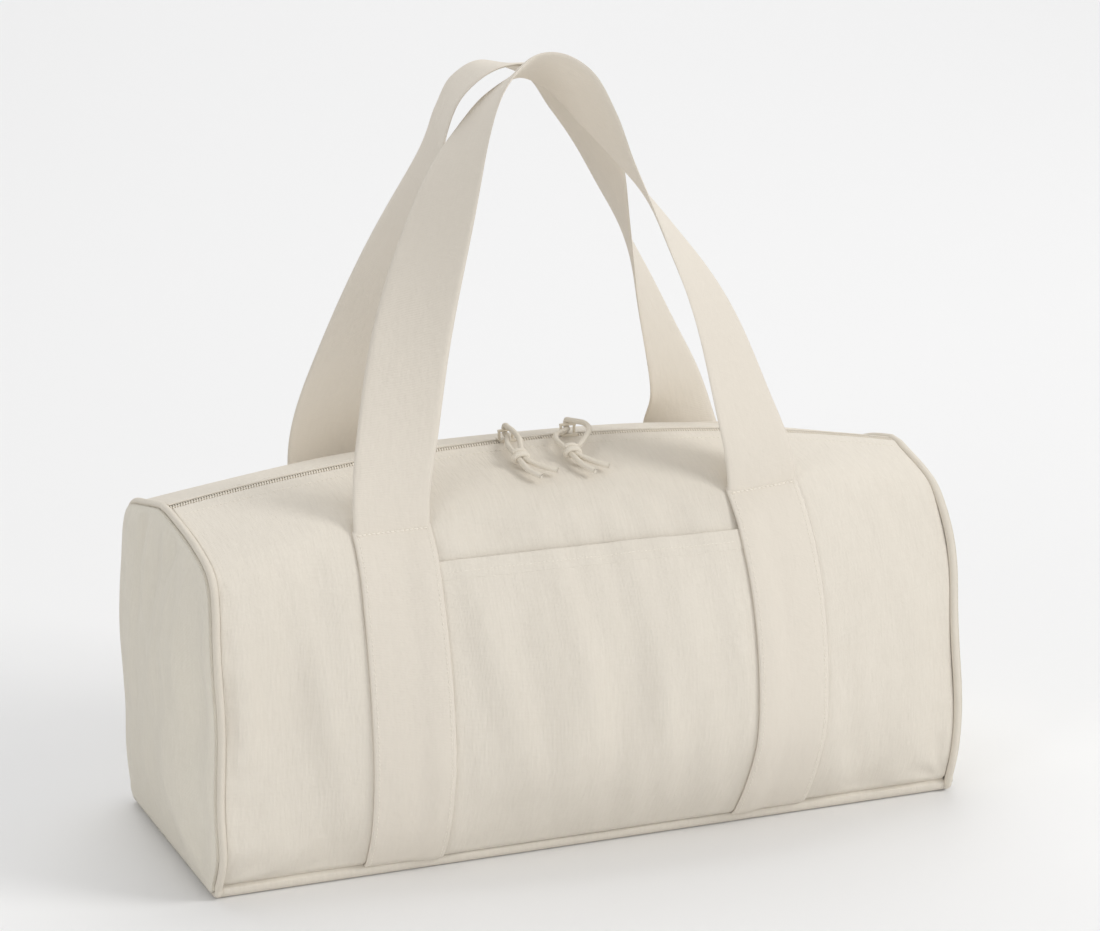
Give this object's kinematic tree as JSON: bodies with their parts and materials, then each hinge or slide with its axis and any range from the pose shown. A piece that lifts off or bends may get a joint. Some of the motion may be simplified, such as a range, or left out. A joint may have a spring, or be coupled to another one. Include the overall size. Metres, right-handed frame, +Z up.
{
  "type": "barrel bag",
  "caption": "Soft barrel bag of natural canvas with piped end panels, a patch pocket, broad webbing straps that rise into twisted carrying handles, and a two-way zip with knotted cord pulls.",
  "frame": {"origin": "middle of the underside, on the surface that the bag stands on", "axes": "+X along the bag to the right as seen from the pocket side, +Y from the pocket side to the back, +Z up"},
  "size_m": [0.5358, 0.2686, 0.5013],
  "materials": {
    "canvas": "plain weave, matte",
    "webbing": "close woven, matte",
    "thread": "matte",
    "piping_cord": "matte",
    "pull_cord": "matte",
    "zip_tape": "close woven, matte",
    "zip_coil": "satin",
    "slider": "satin"
  },
  "bodies": {
    "bag": {"base_panel": "canvas", "front_panel": "canvas", "back_panel": "canvas", "left_end_panel": "canvas", "right_end_panel": "canvas", "left_piping": "canvas", "right_piping": "canvas", "left_piping_cord": "piping_cord", "right_piping_cord": "piping_cord", "front_pocket": "canvas", "pocket_hem": "canvas", "front_zip_tape": "zip_tape", "back_zip_tape": "zip_tape", "front_zip_coil": "zip_coil", "back_zip_coil": "zip_coil", "front_left_strap": "webbing", "front_right_strap": "webbing", "back_left_strap": "webbing", "back_right_strap": "webbing", "strap_stitching": "thread"},
    "front_handle": {"front_handle": "webbing"},
    "back_handle": {"back_handle": "webbing"},
    "left_slider": {"left_slider": "slider"},
    "right_slider": {"right_slider": "slider"},
    "left_pull": {"left_pull_cord": "pull_cord"},
    "right_pull": {"right_pull_cord": "pull_cord"}
  },
  "joints": [
    {"name": "front_handle_swing", "type": "hinge", "parent": "bag", "child": "front_handle", "pos_m": [0, -0.07728, 0.2236], "axis": [1, 0, 0], "range_deg": [0, 120]},
    {"name": "back_handle_swing", "type": "hinge", "parent": "bag", "child": "back_handle", "pos_m": [0, 0.07683, 0.2236], "axis": [1, 0, 0], "range_deg": [-120, 0]},
    {"name": "left_slider_travel", "type": "hinge", "parent": "bag", "child": "left_slider", "pos_m": [-0.025, 0, -1.085], "axis": [0, 1, 0], "range_deg": [-8.1, 0.35]},
    {"name": "right_slider_travel", "type": "hinge", "parent": "bag", "child": "right_slider", "pos_m": [-0.025, 0, -1.085], "axis": [0, 1, 0], "range_deg": [-0.35, 8.6]},
    {"name": "left_pull_turn", "type": "hinge", "parent": "left_slider", "child": "left_pull", "pos_m": [-0.02601, 0, 0.2527], "axis": [1, 0, 0.0008], "range_deg": [-170, 0]},
    {"name": "right_pull_turn", "type": "hinge", "parent": "right_slider", "child": "right_pull", "pos_m": [0.01624, 0, 0.25206], "axis": [0.9995, 0, -0.0308], "range_deg": [-170, 0]}
  ]
}
